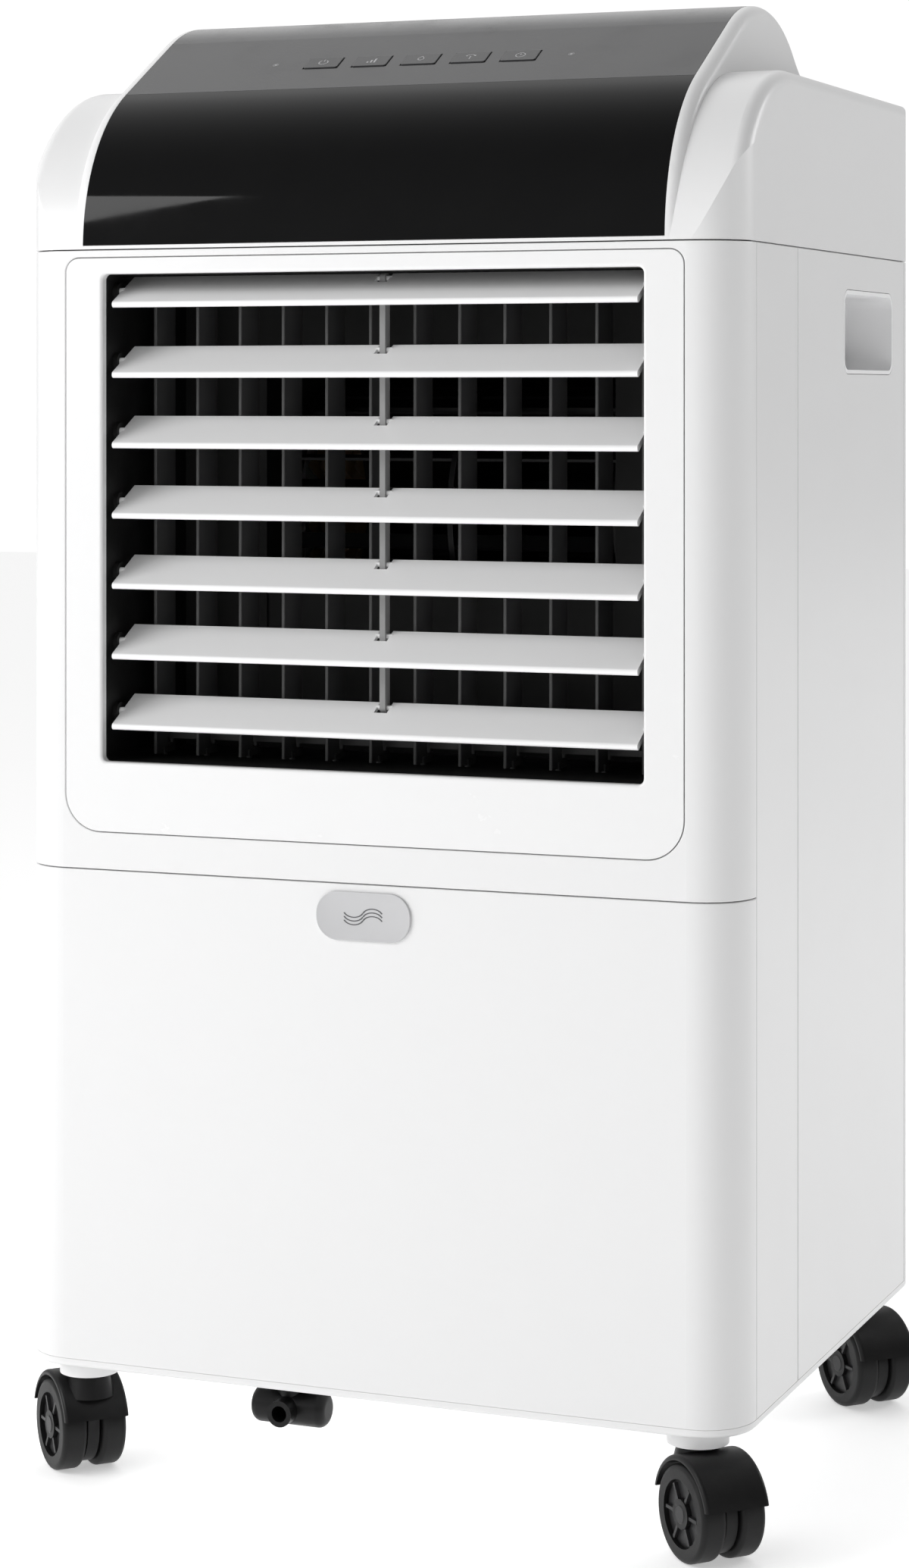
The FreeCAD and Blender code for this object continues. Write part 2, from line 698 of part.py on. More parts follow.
def make_slats():
    """Tilting slats on end pins, and the bar that ties their rear edges."""
    half = open_hw - slat_end
    nose = slat_t / 2
    tail = slat_rear_t / 2
    chord = slat_chord / 2
    tail_y = chord - tail
    edges = [Part.makeLine(Vector(0, -chord + nose, nose), Vector(0, tail_y, tail)),
             Part.Arc(Vector(0, tail_y, tail), Vector(0, chord, 0), Vector(0, tail_y, -tail)).toShape(),
             Part.makeLine(Vector(0, tail_y, -tail), Vector(0, -chord + nose, -nose)),
             Part.Arc(Vector(0, -chord + nose, -nose), Vector(0, -chord, 0),
                      Vector(0, -chord + nose, nose)).toShape()]
    blade = side_prism(edges, half)
    pin_y = chord - link_pin
    notch = box(-link_slot / 2, link_slot / 2, pin_y - link_reach, chord + 1, -slat_t, slat_t)
    blade = blade.cut(notch)
    pin_hw = link_slot / 2 + link_pin_in
    pin = rod(link_pin_r, Vector(-pin_hw, pin_y, 0), Vector(pin_hw, pin_y, 0))
    axle = rod(pin_r, Vector(-open_hw - duct_t, 0, 0), Vector(open_hw + duct_t, 0, 0))
    axle = axle.cut(box(-half + cut_over, half - cut_over, -chord, chord, -slat_t, slat_t))
    slat = join(blade, pin, axle)
    lean = Rotation(Vector(1, 0, 0), slat_tilt)
    for index, z in enumerate(slat_z):
        placed = slat.copy()
        placed.Placement = Placement(Vector(0, slat_y, z), lean)
        save("slat_%d" % (index + 1), placed)
    link_y = slat_y + pin_y * math.cos(math.radians(slat_tilt))
    rise = pin_y * math.sin(math.radians(slat_tilt))
    bar = rounded_prism(link_y - link_w / 2, link_y + link_w / 2, slat_z[-1] + rise - link_over,
                        slat_z[0] + rise + link_over, [link_over - 0.1] * 4,
                        lambda y, z: Vector(-link_t / 2, y, z), Vector(link_t, 0, 0))
    for z in slat_z:
        bar = bar.cut(rod(link_pin_r + pin_gap, Vector(-link_t, link_y, z + rise),
                          Vector(link_t, link_y, z + rise)))
    save("slat_link", bar)


def make_vanes():
    """Upright vanes that steer the air sideways, and their tie bar."""
    half = vane_t / 2
    z0 = open_z0 + vane_end
    z1 = open_z1 - vane_end
    chord = vane_chord / 2
    blade = rounded_prism(-half, half, -chord, chord, [vane_edge_r] * 4,
                          lambda x, y: Vector(x, y, z0), Vector(0, 0, z1 - z0))
    pin_y = chord - link_pin + 1
    link_z = open_z0 + vane_link_z
    notch = box(-half, half, pin_y - link_reach + 1, chord + 1, link_z - link_slot / 2,
                link_z + link_slot / 2)
    blade = blade.cut(notch)
    pin = rod(link_pin_r, Vector(0, pin_y, link_z - link_slot / 2 - link_pin_in),
              Vector(0, pin_y, link_z + link_slot / 2 + link_pin_in))
    root = box(-vane_root_w / 2, vane_root_w / 2, -vane_root_d / 2, vane_root_d / 2, z0, z0 + vane_root_h)
    tip = root.translated(Vector(0, 0, z1 - z0 - vane_root_h))
    for index, x in enumerate(vane_x):
        reach = swing_shaft if index == 0 else duct_t
        low = rod(vane_pin_r, Vector(0, 0, open_z0 - reach), Vector(0, 0, z0 + 2))
        high = rod(vane_pin_r, Vector(0, 0, z1 - 2), Vector(0, 0, open_z1 + duct_t))
        vane = join(blade, pin, root, tip, low, high)
        save("vane_%02d" % (index + 1), vane.translated(Vector(x, vane_y, 0)))
    bar_y = vane_y + pin_y
    bar = rounded_prism(vane_x[0] - vane_link_over, vane_x[-1] + vane_link_over, bar_y - vane_link_w / 2,
                        bar_y + vane_link_w / 2, [link_t / 2] * 4,
                        lambda x, y: Vector(x, y, link_z - link_t / 2), Vector(0, 0, link_t))
    for x in vane_x:
        bar = bar.cut(rod(link_pin_r + pin_gap, Vector(x, bar_y, link_z - link_t),
                          Vector(x, bar_y, link_z + link_t)))
    save("vane_link", bar)
    z = open_z0 - duct_t
    side = swing_side / 2
    motor = rounded_prism(vane_x[0] - side, vane_x[0] + side, vane_y - side, vane_y + side, [swing_r] * 4,
                          lambda x, y: Vector(x, y, z - swing_h), Vector(0, 0, swing_h))
    bore = rod(vane_pin_r + shaft_gap, Vector(vane_x[0], vane_y, z - swing_h + swing_floor),
               Vector(vane_x[0], vane_y, z + 1))
    save("swing_motor", motor.cut(bore))


def make_blower():
    z0 = open_z0 - duct_t
    z1 = open_z1 + duct_t
    plenum = box(-open_hw - duct_t, open_hw + duct_t, duct_y, plenum_y, z0, z1)
    plenum = plenum.cut(box(-open_hw, open_hw, duct_y - 1, plenum_y - drum_t, open_z0, open_z1))
    axis = Vector(drum_hw, fan_y, fan_z)
    drum = join(rod(drum_r, Vector(-drum_hw, fan_y, fan_z), axis),
                box(-drum_hw, drum_hw, plenum_y - drum_t, fan_y, fan_z - drum_r, fan_z + drum_r))
    inner = drum_hw - drum_t
    bore = drum_r - drum_t
    hollow = join(rod(bore, Vector(-inner, fan_y, fan_z), Vector(inner, fan_y, fan_z)),
                  box(-inner, inner, plenum_y - drum_t - 1, fan_y, fan_z - bore, fan_z + bore))
    eye = rod(eye_r, Vector(-drum_hw - 1, fan_y, fan_z), Vector(drum_hw + 1, fan_y, fan_z))
    tongue = box(-inner, inner, plenum_y, plenum_y + drum_t, fan_z - bore, fan_z - fan_r * tongue_at)
    save("blower_scroll", join(join(plenum, drum).cut(hollow).cut(eye), tongue))

    ring = rod(fan_r, Vector(-fan_hw, fan_y, fan_z), Vector(-fan_hw + ring_t, fan_y, fan_z))
    ring = ring.cut(rod(fan_r - blade_depth, Vector(-fan_hw - 1, fan_y, fan_z),
                        Vector(-fan_hw + ring_t + 1, fan_y, fan_z)))
    disc = rod(fan_r - 0.5, Vector(-disc_t / 2, fan_y, fan_z), Vector(disc_t / 2, fan_y, fan_z))
    hub = rod(hub_r, Vector(-hub_hw, fan_y, fan_z), Vector(hub_hw, fan_y, fan_z))
    shaft = rod(shaft_r, Vector(-hub_hw - shaft_over, fan_y, fan_z),
                Vector(drum_hw + motor_len - shaft_in, fan_y, fan_z))
    pieces = [ring.translated(Vector(2 * fan_hw - ring_t, 0, 0)), disc, hub, shaft]
    blade = box(-fan_hw + 1, fan_hw - 1, fan_y + fan_r - blade_depth + 0.3, fan_y + fan_r - 0.6,
                fan_z - blade_t / 2, fan_z + blade_t / 2)
    middle = Vector(0, fan_y + fan_r - blade_depth / 2, fan_z)
    blade.rotate(middle, Vector(1, 0, 0), blade_lean)
    for index in range(fan_blades):
        turned = blade.copy()
        turned.rotate(Vector(0, fan_y, fan_z), Vector(1, 0, 0), 360 * index / fan_blades)
        pieces.append(turned)
    save("blower_wheel", join(ring, *pieces))

    x0 = drum_hw
    can = rod(motor_r, Vector(x0 + motor_off, fan_y, fan_z), Vector(x0 + motor_len, fan_y, fan_z))
    can = can.makeFillet(motor_edge_r, edges_where(can, lambda e: e.BoundBox.XMin > x0 + motor_len - 1))
    arms = []
    for index in range(3):
        arm = box(x0, x0 + arm_t, fan_y - arm_w / 2, fan_y + arm_w / 2, fan_z + motor_r - arm_lap,
                  fan_z + eye_r + arm_lap)
        arm.rotate(Vector(0, fan_y, fan_z), Vector(1, 0, 0), 60 + 120 * index)
        arms.append(arm)
    bore = rod(shaft_r + shaft_gap, Vector(x0 - cut_over, fan_y, fan_z),
               Vector(x0 + motor_len - shaft_in + cut_over, fan_y, fan_z))
    save("fan_motor", join(can, *arms).cut(bore))


screw_heights = [panel_z + screw_foot + screw_pitch * k for k in range(screw_rows)]
case_hw = pad_hw + pad_gap + pad_case_t
case_z0 = pad_z0 - pad_gap - pad_case_t
case_z1 = pad_z1 + pad_gap + pad_case_t
filter_hw = pad_hw
filter_z0 = pad_z0
filter_z1 = pad_z1


def make_rear():
    z0 = panel_z
    frame = skin(z0, seam_z).common(box(-half_w, half_w, y_rear - rear_seam, y_rear, z0, seam_z))
    frame = frame.cut(box(-filter_hw - filter_gap, filter_hw + filter_gap, y_rear - wall - 1, y_rear + 1,
                          filter_z0 - filter_gap, filter_z1 + filter_gap))
    frame = frame.cut(box(-tank_hw - tank_gap, tank_hw + tank_gap, y_rear - wall - 1, y_rear + 1,
                          z0, tank_z1 + tank_gap))
    cuts = []
    for z in screw_heights:
        for x in (-half_w + screw_side, half_w - screw_side):
            cuts.append(rod(screw_r + screw_hole_gap, Vector(x, y_rear - wall - 1, z),
                            Vector(x, y_rear + 1, z)))
    cuts.append(rod(gland_r - gland_neck, Vector(gland_x, y_rear - wall - 1, gland_z),
                    Vector(gland_x, y_rear + 1, gland_z)))
    save("rear_frame", frame.cut(cuts))

    y0 = y_rear - filter_t
    grille = box(-filter_hw, filter_hw, y0, y_rear, filter_z0, filter_z1)
    rim = filter_rim
    grille = grille.cut(box(-filter_hw + rim, filter_hw - rim, y0 - 1, y_rear + 1,
                            filter_z0 + rim, filter_z1 - rim))
    bars = []
    rows = int((filter_z1 - filter_z0 - 2 * rim) / filter_pitch)
    first = (filter_z0 + filter_z1) / 2 - filter_pitch * (rows - 1) / 2
    for row in range(rows):
        z = first + filter_pitch * row
        bars.append(box(-filter_hw + rim - 1, filter_hw - rim + 1, y_rear - bar_sink - bar_d,
                        y_rear - bar_sink, z - filter_bar / 2, z + filter_bar / 2))
    for index in range(rib_count):
        x = filter_hw * 2 * (index + 1) / (rib_count + 1) - filter_hw
        bars.append(box(x - rib_w / 2, x + rib_w / 2, y0 + 1, y_rear - 1, filter_z0 + rim - 1,
                        filter_z1 - rim + 1))
    save("filter_grille", join(grille, *bars))

    save("cooling_pad", box(-pad_hw, pad_hw, pad_y0, pad_y1, pad_z0, pad_z1))

    case = box(-case_hw, case_hw, pad_y0 - case_over, y_rear - wall, case_z0, case_z1)
    case = case.cut(box(-case_hw + pad_case_t, case_hw - pad_case_t, pad_y0 - case_over - 1, y_rear,
                        case_z0 + pad_case_t, case_z1 - pad_case_t))
    tray = box(-pad_hw, pad_hw, pad_y0, pad_y1, case_z1 - 1, case_z1 + tray_h)
    tray = tray.cut(box(-pad_hw + tray_t, pad_hw - tray_t, pad_y0 + tray_t, pad_y1 - tray_t,
                        case_z1, case_z1 + tray_h + 1))
    nozzle_z = case_z1 + tray_h / 2 + 1
    nozzle = rod(hose_r, Vector(pad_hw - 1, hose_y, nozzle_z), Vector(pad_hw + nozzle_over, hose_y, nozzle_z))
    cuts = [rod(hose_bore, Vector(pad_hw - tray_t - 1, hose_y, nozzle_z),
                Vector(pad_hw + nozzle_over + 1, hose_y, nozzle_z))]
    for index in range(drip_count):
        x = pad_hw * (2 * index + 1 - drip_count) / (drip_count + 1)
        cuts.append(rod(drip_r, Vector(x, (pad_y0 + pad_y1) / 2, case_z1 - pad_case_t - 1),
                        Vector(x, (pad_y0 + pad_y1) / 2, case_z1 + 1)))
    for index in range(weep_count):
        x = pad_hw * (2 * index + 1 - weep_count) / (weep_count + 1)
        cuts.append(box(x - weep_w / 2, x + weep_w / 2, pad_y0 + weep_in, pad_y1 - weep_in, case_z0 - 1,
                        case_z0 + pad_case_t + 1))
    save("pad_case", join(case, tray, nozzle).cut(cuts))
    return nozzle_z


gland_x = -half_w + gland_in
gland_z = tank_z1 + gland_up


def make_gland_and_screws():
    end = y_rear + gland_head + 1
    body = join(rod(gland_r, Vector(gland_x, y_rear, gland_z), Vector(gland_x, y_rear + gland_head, gland_z)),
                rod(gland_r - gland_neck, Vector(gland_x, end - gland_len, gland_z),
                    Vector(gland_x, end, gland_z)))
    save("cord_gland", body.cut(rod(gland_bore, Vector(gland_x, end - gland_len - 1, gland_z),
                                    Vector(gland_x, end + 1, gland_z))))
    screws = []
    for z in screw_heights:
        for x in (-half_w + screw_side, half_w - screw_side):
            top = y_rear + screw_head_h
            head = rod(screw_head_r, Vector(x, y_rear, z), Vector(x, top, z))
            head = head.makeFillet(screw_head_edge, edges_where(head, lambda e: e.BoundBox.YMin > top - 0.1))
            shank = rod(screw_r, Vector(x, y_rear - screw_len, z), Vector(x, y_rear + 0.5, z))
            length, width = screw_slot_len / 2, screw_slot_w / 2
            slot = box(x - length, x + length, top - screw_slot_t, top + 1, z - width, z + width)
            cross = box(x - width, x + width, top - screw_slot_t, top + 1, z - length, z + length)
            screws.append(join(head, shank).cut([slot, cross]))
    save("rear_screws", Part.makeCompound(screws))


def make_water():
    y0 = y_front + tank_front
    tank = box(-tank_hw, tank_hw, y0, y_rear, tank_z0, tank_z1)
    grip_z = tank_z1 - grip_drop
    back = box(-grip_w / 2 - tank_t, grip_w / 2 + tank_t, y_rear - grip_deep - tank_t, y_rear,
               grip_z - grip_h / 2 - tank_t, grip_z + grip_h / 2 + tank_t)
    inside = box(-tank_hw + tank_t, tank_hw - tank_t, y0 + tank_t, y_rear - tank_t,
                 tank_z0 + tank_t, tank_z1 + 1)
    pocket = rounded_prism(-grip_w / 2, grip_w / 2, grip_z - grip_h / 2, grip_z + grip_h / 2,
                           [grip_r] * 4,
                           lambda x, z: Vector(x, y_rear - grip_deep, z), Vector(0, grip_deep + 1, 0))
    save("water_tank", join(tank.cut(inside), back).cut(pocket))

    floor = tank_z0 + tank_t
    side = pump_w / 2
    body = rounded_prism(pump_x - side, pump_x + side, hose_y - pump_front, hose_y + pump_rear,
                         [pump_r] * 4, lambda x, y: Vector(x, y, floor), Vector(0, 0, pump_h))
    spout_top = tank_z1 - spout_drop
    spout = rod(spout_r, Vector(pump_x, hose_y, floor + pump_h - 1), Vector(pump_x, hose_y, spout_top))
    bore = rod(spout_bore, Vector(pump_x, hose_y, floor + pump_h - spout_deep),
               Vector(pump_x, hose_y, spout_top + 1))
    save("water_pump", join(body, spout).cut(bore))
    return spout_top


def make_hose(start_z, end_z):
    """Riser from the pump's spout to the tray: straight runs and tangent arcs."""
    r = hose_bend
    cross_z = start_z + hose_rise + r
    first = Vector(pump_x, hose_y, start_z)
    path = [Part.makeLine(first, Vector(pump_x, hose_y, cross_z - r))]
    turn = math.sqrt(0.5) * r
    path.append(Part.Arc(Vector(pump_x, hose_y, cross_z - r),
                         Vector(pump_x + r - turn, hose_y, cross_z - r + turn),
                         Vector(pump_x + r, hose_y, cross_z)).toShape())
    path.append(Part.makeLine(Vector(pump_x + r, hose_y, cross_z), Vector(hose_x - r, hose_y, cross_z)))
    path.append(Part.Arc(Vector(hose_x - r, hose_y, cross_z),
                         Vector(hose_x - r + turn, hose_y, cross_z + r - turn),
                         Vector(hose_x, hose_y, cross_z + r)).toShape())
    path.append(Part.makeLine(Vector(hose_x, hose_y, cross_z + r), Vector(hose_x, hose_y, end_z - r / 2)))
    bend = r / 2
    short = math.sqrt(0.5) * bend
    path.append(Part.Arc(Vector(hose_x, hose_y, end_z - bend),
                         Vector(hose_x - bend + short, hose_y, end_z - bend + short),
                         Vector(hose_x - bend, hose_y, end_z)).toShape())
    path.append(Part.makeLine(Vector(hose_x - bend, hose_y, end_z),
                              Vector(pad_hw + nozzle_over, hose_y, end_z)))
    spine = Part.Wire(path)
    ends = []
    for radius in (hose_r, hose_bore):
        section = Part.Wire(Part.makeCircle(radius, first, Vector(0, 0, 1)))
        ends.append(spine.makePipeShell([section], True, True))
    save("water_hose", ends[0].cut(ends[1]))


def make_base():
    plate = plan_block(0, base_z, panel_z)
    edges = edges_where(plate, lambda e: e.BoundBox.ZMax < base_z + 0.01)
    plate = plate.makeFillet(pan_edge_r, edges)
    rim = lip(panel_z, panel_z + upstand_h)
    rim = rim.cut(box(-tank_hw - 2, tank_hw + 2, 0, y_rear, panel_z, panel_z + upstand_h + 1))
    parts = [rim]
    cuts = []
    for x, y, _ in caster_places:
        parts.append(rod(boss_r, Vector(x, y, base_z - boss_h), Vector(x, y, base_z + 1)))
        cuts.append(rod(stem_r + stem_gap, Vector(x, y, base_z - boss_h - 1), Vector(x, y, panel_z - 1)))
    save("base_pan", join(plate, *parts).cut(cuts))

    z = base_z - drain_drop
    y = y_front + drain_in
    half = drain_len / 2
    barrel = rod(drain_r, Vector(drain_x - half, y, z), Vector(drain_x + half, y, z))
    barrel = barrel.makeFillet(drain_r / 2, edges_where(barrel, lambda e: e.Closed))
    neck = rod(drain_neck, Vector(drain_x, y, z), Vector(drain_x, y, base_z))
    flange = rod(drain_flange, Vector(drain_x, y, base_z - drain_flange_t), Vector(drain_x, y, base_z))
    nozzle = rod(nozzle_r, Vector(drain_x, y, z), Vector(drain_x, drain_mouth, z))
    bore = rod(drain_bore, Vector(drain_x, drain_mouth - 1, z),
               Vector(drain_x, drain_mouth + drain_deep, z))
    save("drain_spout", join(barrel, neck, flange, nozzle).cut(bore))


caster_places = []
for sx, sy, name in ((1, -1, "front_right"), (-1, -1, "front_left"),
                     (-1, 1, "rear_left"), (1, 1, "rear_right")):
    caster_places.append((sx * (half_w - caster_in_x), sy * (body_d / 2 - caster_in_y), name))


def make_casters():
    """Built trailing along +X from the swivel axis, then turned and placed.

    They rest as the cooler was last rolled, all axles parallel.
    """
    hub = Vector(trail, 0, wheel_z)
    half = wheel_w + web_t / 2 + wheel_gap
    side = Vector(0, 1, 0)
    top = base_z - boss_h - fork_gap
    web = Part.makeCylinder(wheel_r - web_in, web_t, hub - side * web_t / 2, side)
    web = join(web, box(-neck_w / 2, trail, -web_t / 2, web_t / 2, wheel_z, top - neck_drop))
    shell = Part.makeCylinder(hood_r + hood_t, 2 * half, hub - side * half, side)
    shell = shell.makeFillet(hood_edge_r, shell.Edges)
    shell = shell.cut(Part.makeCylinder(hood_r, 2 * half + 2, hub - side * (half + 1), side))
    shell = shell.common(box(-wheel_r * 2, wheel_r * 3, -half, half, wheel_z + hood_cut, top))
    neck_z = wheel_z + neck_rise
    neck = Part.makeCone(neck_low_r, neck_top_r, top - neck_z, Vector(0, 0, neck_z))
    neck = neck.cut(Part.makeCylinder(hood_r, 2 * half + 2, hub - side * (half + 1), side))
    stem = rod(stem_r, Vector(0, 0, top - stem_root), Vector(0, 0, base_z - stem_end))
    fork = join(web, shell, neck, stem)
    fork = fork.cut(Part.makeCylinder(axle_r + axle_gap, 2 * half + 2, hub - side * (half + 1), side))
    tyre = Part.makeCylinder(wheel_r, wheel_w, hub + side * (web_t / 2 + wheel_gap), side)
    tyre = tyre.makeFillet(tyre_edge_r, edges_where(tyre, lambda e: e.Closed or e.BoundBox.YLength < 0.01))
    dish = Part.makeCylinder(wheel_r - dish_in, dish_t + 1, hub + side * (half - dish_t), side)
    hub_cap = Part.makeCylinder(cap_r, cap_t, hub + side * (half - cap_t), side)
    tyre = join(tyre.cut(dish), hub_cap)
    other = tyre.mirror(Vector(0, 0, 0), Vector(0, 1, 0))
    axle = Part.makeCylinder(axle_r, 2 * (half - axle_in), hub - side * (half - axle_in), side)
    wheels = join(tyre, other, axle)
    for x, y, name in caster_places:
        turn = -trail_dir if x > 0 else 180 - trail_dir
        for kind, shape in (("caster_fork_", fork), ("caster_wheels_", wheels)):
            placed = shape.copy()
            placed.Placement = Placement(Vector(x, y, 0), Rotation(Vector(0, 0, 1), turn))
            save(kind + name, placed)


save("top_housing", make_top_housing())
make_console()
make_casings()
right = make_side_panel()
save("side_panel_right", right)
save("side_panel_left", mirrored(right))
cup = make_handle_cup()
save("handle_cups", Part.makeCompound([cup, mirrored(cup)]))
save("louvre_frame", make_louvre_frame())
save("air_duct", make_air_duct())
make_slats()
make_vanes()
make_blower()
nozzle_height = make_rear()
make_gland_and_screws()
spout_height = make_water()
make_hose(spout_height + spout_gap, nozzle_height)
make_base()
make_casters()
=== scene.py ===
import json
import math
import bmesh
import bpy
from mathutils import Matrix, Vector


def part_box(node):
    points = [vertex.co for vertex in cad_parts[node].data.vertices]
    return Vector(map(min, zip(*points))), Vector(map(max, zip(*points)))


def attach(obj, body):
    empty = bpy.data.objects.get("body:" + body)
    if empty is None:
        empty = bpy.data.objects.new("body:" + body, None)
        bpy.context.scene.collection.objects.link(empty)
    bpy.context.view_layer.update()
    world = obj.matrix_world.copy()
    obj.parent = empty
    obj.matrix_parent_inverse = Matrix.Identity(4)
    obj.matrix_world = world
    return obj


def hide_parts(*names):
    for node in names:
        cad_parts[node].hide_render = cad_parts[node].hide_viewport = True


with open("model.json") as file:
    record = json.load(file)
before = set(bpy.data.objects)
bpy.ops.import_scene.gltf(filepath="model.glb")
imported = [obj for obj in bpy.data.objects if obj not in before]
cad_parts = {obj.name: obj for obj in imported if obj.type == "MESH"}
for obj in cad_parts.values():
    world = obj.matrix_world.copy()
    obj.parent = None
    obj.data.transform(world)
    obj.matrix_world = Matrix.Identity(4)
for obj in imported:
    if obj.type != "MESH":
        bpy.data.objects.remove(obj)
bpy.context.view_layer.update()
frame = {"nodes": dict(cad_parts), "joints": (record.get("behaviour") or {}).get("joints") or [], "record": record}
nodes = frame["nodes"]
print("frame loaded:", len(nodes), "nodes")


class Wire:  # a node's output, so that sums on it are written as sums
    def __init__(self, tree, socket):
        self.tree = tree
        self.socket = socket

    def worked(self, operation, first, second=0.0):
        node = self.tree.nodes.new("ShaderNodeMath")
        node.operation = operation
        for slot, value in zip(node.inputs, (first, second)):
            plug(self.tree, slot, value)
        return Wire(self.tree, node.outputs[0])

    def __add__(self, other):
        return self.worked("ADD", self, other)

    def __radd__(self, other):
        return self.worked("ADD", other, self)

    def __sub__(self, other):
        return self.worked("SUBTRACT", self, other)

    def __rsub__(self, other):
        return self.worked("SUBTRACT", other, self)

    def __mul__(self, other):
        return self.worked("MULTIPLY", self, other)

    def __rmul__(self, other):
        return self.worked("MULTIPLY", other, self)

    def __pow__(self, other):
        return self.worked("POWER", self, other)

    def most(self, other):
        return self.worked("MAXIMUM", self, other)

    def ramp(self, low, high):  # 0 at low, 1 at high, held outside
        node = self.tree.nodes.new("ShaderNodeMapRange")
        plug(self.tree, node.inputs["Value"], self)
        node.inputs["From Min"].default_value = low
        node.inputs["From Max"].default_value = high
        return Wire(self.tree, node.outputs[0])


def plug(tree, slot, value):
    if isinstance(value, Wire):
        tree.links.new(value.socket, slot)
    else:
        slot.default_value = value


class Finish:  # one material, started from a dictionary of plain values
    def __init__(self, name, look):
        self.material = bpy.data.materials.new(name)
        self.material.use_nodes = True
        self.tree = self.material.node_tree
        self.surface = self.tree.nodes["Principled BSDF"]
        self.look = look
        color = look["color"]
        self.material.diffuse_color = (*color, 1.0)
        self.set("Base Color", (*color, 1.0))
        self.set("Roughness", look["roughness"])
        for key, value in look.get("fixed", {}).items():
            self.set(key, value)
        self.place = self.node("ShaderNodeTexCoord", out="Object")
        split = self.tree.nodes.new("ShaderNodeSeparateXYZ")
        plug(self.tree, split.inputs[0], self.place)
        self.z = Wire(self.tree, split.outputs["Z"])

    def set(self, slot, value):
        plug(self.tree, self.surface.inputs[slot], value)

    def node(self, kind, settings=None, values=None, out=0):
        made = self.tree.nodes.new(kind)
        for key, value in (settings or {}).items():
            setattr(made, key, value)
        for key, value in (values or {}).items():
            plug(self.tree, made.inputs[key], value)
        return Wire(self.tree, made.outputs[out])

    def noise(self, scale, detail, rough=0.5):
        return self.node("ShaderNodeTexNoise", values={"Vector": self.place, "Scale": scale,
                                                       "Detail": detail, "Roughness": rough})

    def blend(self, factor, first, second):
        return self.node("ShaderNodeMix", {"data_type": "RGBA"},
                         {"Factor": factor, 6: first, 7: second}, 2)

    def bump(self, layers):  # layers of (height, depth in metres)
        normal = None
        for height, depth in layers:
            values = {"Height": height, "Distance": depth, "Strength": 1.0}
            if normal:
                values["Normal"] = normal
            normal = self.node("ShaderNodeBump", values=values)
        self.set("Normal", normal)

    def tint(self, factor, color):
        base = (*self.look["color"], 1.0)
        self.set("Base Color", self.blend(factor, base, (*color, 1.0)))


wear = {"swayScale": 9.0, "patchScale": 26.0, "speckScale": 340.0, "rubbed": (0.45, 0.75),
        "dusty": (0.66, 0.78), "splashed": (0.16, 0.06), "speckGloss": 0.02, "speckDust": 0.2,
        "rubDust": 0.25, "splashDust": 0.4}


def moulded(name, look):  # moulded plastic: fine grain, slow waviness, faint dust and rubbed patches
    f = Finish(name, look)
    grain = f.noise(look["grain"], 2.0, 0.6)
    sway = f.noise(wear["swayScale"], 1.0)
    patches = f.noise(wear["patchScale"], 4.0, 0.62)
    specks = f.noise(wear["speckScale"], 2.0, 0.7)
    rub = patches.ramp(*wear["rubbed"])
    gloss = look["uneven"] * (rub - 0.5) + wear["speckGloss"] * (specks - 0.5)
    f.set("Roughness", look["roughness"] + gloss)
    dust = specks.ramp(*wear["dusty"]) * wear["speckDust"] + rub * wear["rubDust"]
    dust = dust + f.z.ramp(*wear["splashed"]) * wear["splashDust"]
    f.tint(dust * look["dust"], look["dirt"])
    f.bump([(grain, look["grainDepth"]), (sway, look.get("swayDepth", 0.0002))])
    return f


white = (0.83, 0.83, 0.832)
finishes = {}


